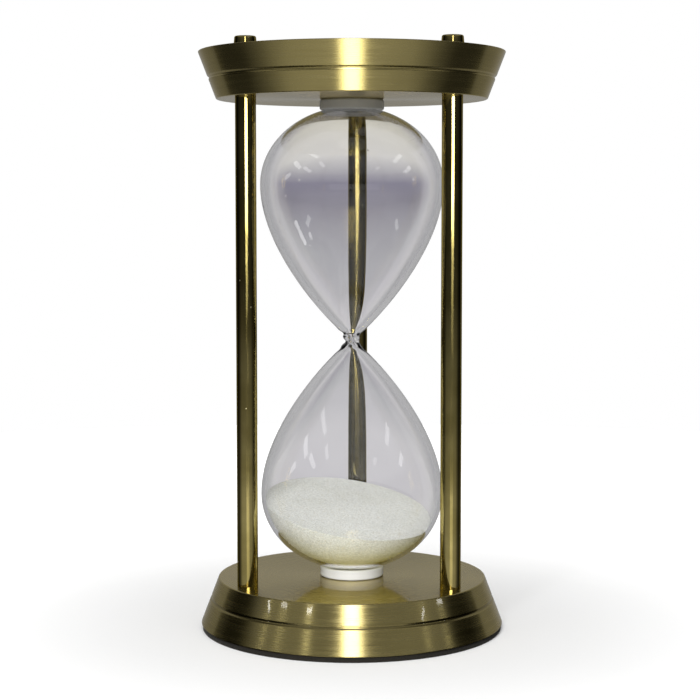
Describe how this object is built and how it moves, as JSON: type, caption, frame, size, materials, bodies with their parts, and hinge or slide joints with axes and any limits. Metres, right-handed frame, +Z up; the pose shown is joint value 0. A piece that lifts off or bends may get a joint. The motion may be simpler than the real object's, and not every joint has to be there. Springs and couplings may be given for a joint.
{
  "type": "hourglass",
  "caption": "Hourglass: blown glass with two drop-shaped bulbs, held by white seats between two coned brass plates on round pillars, with pale sand in the lower bulb.",
  "frame": {"origin": "centre of the pad's underside, on the surface that the hourglass stands on", "axes": "+Z up along the pillars; the rear pillar lies on +Y and the other two in front of it, left and right"},
  "size_m": [0.1196, 0.1196, 0.2314],
  "materials": {
    "satin_brass": "antique brass, turned with fine round brush lines and lacquered",
    "polished_brass": "antique brass, polished",
    "steel": "zinc plated",
    "pad": "thin dark foam, matt",
    "seat": "soft white plastic, slight sheen",
    "glass": "clear blown glass",
    "sand": "fine off-white sand, matt"
  },
  "bodies": {
    "stand": {"base_plate": "satin_brass", "base_cover": "satin_brass", "base_pad": "pad", "top_plate": "satin_brass", "top_cover": "satin_brass", "pillar_rear": "polished_brass", "tie_rod_rear": "steel", "cap_nut_rear": "polished_brass", "base_nut_rear": "steel", "base_washer_rear": "steel", "pillar_left": "polished_brass", "tie_rod_left": "steel", "cap_nut_left": "polished_brass", "base_nut_left": "steel", "base_washer_left": "steel", "pillar_right": "polished_brass", "tie_rod_right": "steel", "cap_nut_right": "polished_brass", "base_nut_right": "steel", "base_washer_right": "steel", "lower_seat": "seat", "upper_seat": "seat"},
    "glass": {"glass_bulb": "glass", "sand": "sand"}
  },
  "joints": [
    {"name": "glass_turn", "type": "hinge", "parent": "stand", "child": "glass", "pos_m": [0, 0, 0.11455], "axis": [0, 0, 1], "continuous": true}
  ]
}
